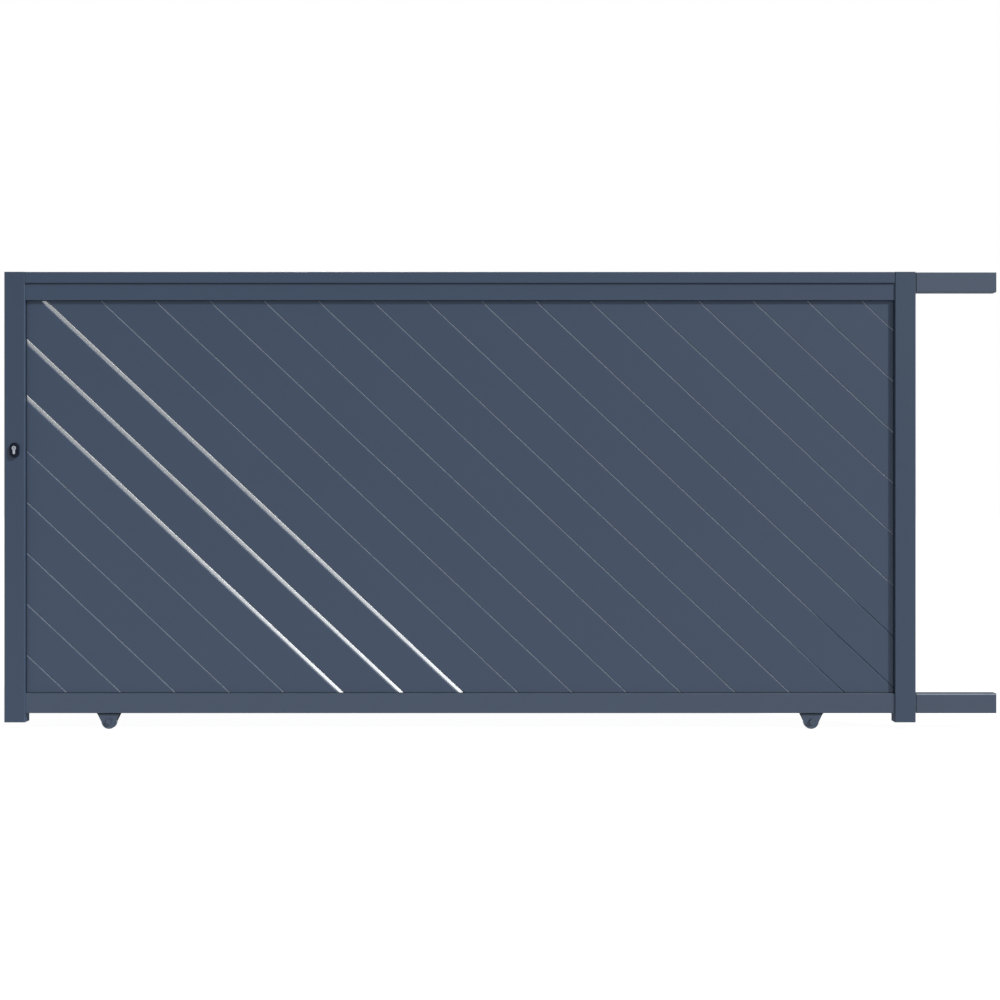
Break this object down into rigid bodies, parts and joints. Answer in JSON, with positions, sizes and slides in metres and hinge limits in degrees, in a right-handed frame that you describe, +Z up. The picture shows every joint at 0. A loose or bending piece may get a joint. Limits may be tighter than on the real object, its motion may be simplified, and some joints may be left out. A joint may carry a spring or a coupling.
{
  "type": "sliding gate leaf",
  "caption": "Sliding driveway gate leaf on two grooved wheels: aluminium frame, diagonal tongue-and-groove boards with bright inserts, a hook lock and two tails.",
  "frame": {"origin": "on the leading stile's outer face, at mid depth, level with the bottom rail's centre line, 103 mm above the track", "axes": "+X from the leading stile to the tails, the way the gate opens; +Y from the street side to the back; +Z up"},
  "size_m": [3.902, 0.068, 1.8],
  "materials": {
    "slate_coat": "satin powder coat",
    "bright_insert": "brushed along its length",
    "wheel_metal": "turned and burnished dark, bright in the groove",
    "fixing_metal": "satin coat",
    "lock_steel": "satin",
    "lock_nickel": "satin nickel",
    "black_trim": "satin black",
    "cap_plastic": "matt, matched to the coat",
    "sleeve_metal": "dark anodised"
  },
  "bodies": {
    "leaf": {"back_escutcheon": "black_trim", "board_01": "slate_coat", "board_02": "slate_coat", "board_03": "slate_coat", "board_04": "slate_coat", "board_05": "slate_coat", "board_06": "slate_coat", "board_07": "slate_coat", "board_08": "slate_coat", "board_09": "slate_coat", "board_10": "slate_coat", "board_11": "slate_coat", "board_12": "slate_coat", "board_13": "slate_coat", "board_14": "slate_coat", "board_15": "slate_coat", "board_16": "slate_coat", "board_17": "slate_coat", "board_18": "slate_coat", "board_19": "slate_coat", "board_20": "slate_coat", "board_21": "slate_coat", "board_22": "slate_coat", "board_23": "slate_coat", "board_24": "slate_coat", "bottom_rail": "slate_coat", "bottom_tail": "slate_coat", "front_escutcheon": "black_trim", "hook_bolt": "lock_steel", "insert_lower": "bright_insert", "insert_middle": "bright_insert", "insert_upper": "bright_insert", "leading_axle_bolt": "fixing_metal", "leading_axle_nut": "fixing_metal", "leading_stile": "slate_coat", "leading_wheel_bracket": "slate_coat", "lock_case": "lock_steel", "lock_cylinder": "lock_nickel", "lock_faceplate": "lock_steel", "stile_foot_caps": "cap_plastic", "stile_top_caps": "cap_plastic", "tail_end_caps": "cap_plastic", "tail_sleeves": "sleeve_metal", "top_capping": "slate_coat", "top_rail": "slate_coat", "top_tail": "slate_coat", "trailing_axle_bolt": "fixing_metal", "trailing_axle_nut": "fixing_metal", "trailing_stile": "slate_coat", "trailing_wheel_bracket": "slate_coat", "wheel_packers": "black_trim"},
    "leading_wheel": {"leading_wheel": "wheel_metal"},
    "trailing_wheel": {"trailing_wheel": "wheel_metal"}
  },
  "joints": [
    {"name": "leading_wheel_roll", "type": "hinge", "parent": "leaf", "child": "leading_wheel", "pos_m": [0.407, 0, -0.073], "axis": [0, 1, 0], "continuous": true},
    {"name": "trailing_wheel_roll", "type": "hinge", "parent": "leaf", "child": "trailing_wheel", "pos_m": [3.177, 0, -0.073], "axis": [0, 1, 0], "continuous": true}
  ]
}
